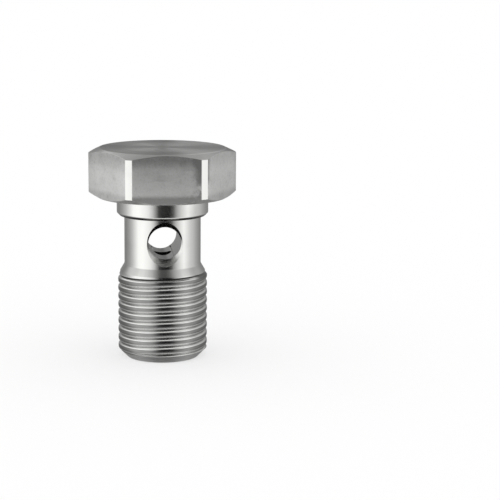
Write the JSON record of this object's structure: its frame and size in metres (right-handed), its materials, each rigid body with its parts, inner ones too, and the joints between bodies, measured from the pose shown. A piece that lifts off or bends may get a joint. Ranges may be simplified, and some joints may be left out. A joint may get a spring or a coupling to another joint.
{
  "type": "banjo bolt",
  "caption": "Hollow hexagon-headed bolt with a washer collar, a cross-drilled neck and a threaded tip, for clamping a ring fitting to a port and passing fluid through it.",
  "frame": {"origin": "centre of the flat tip face, the lowest point of the standing bolt", "axes": "+Z along the bolt's axis towards the head; the cross hole runs along Y; two flats of the hexagon face -Y and +Y"},
  "size_m": [0.0158, 0.014, 0.0227],
  "materials": {
    "turned_steel": "bright turned stainless steel"
  },
  "bodies": {
    "root": {"banjo_bolt": "turned_steel"}
  },
  "joints": []
}
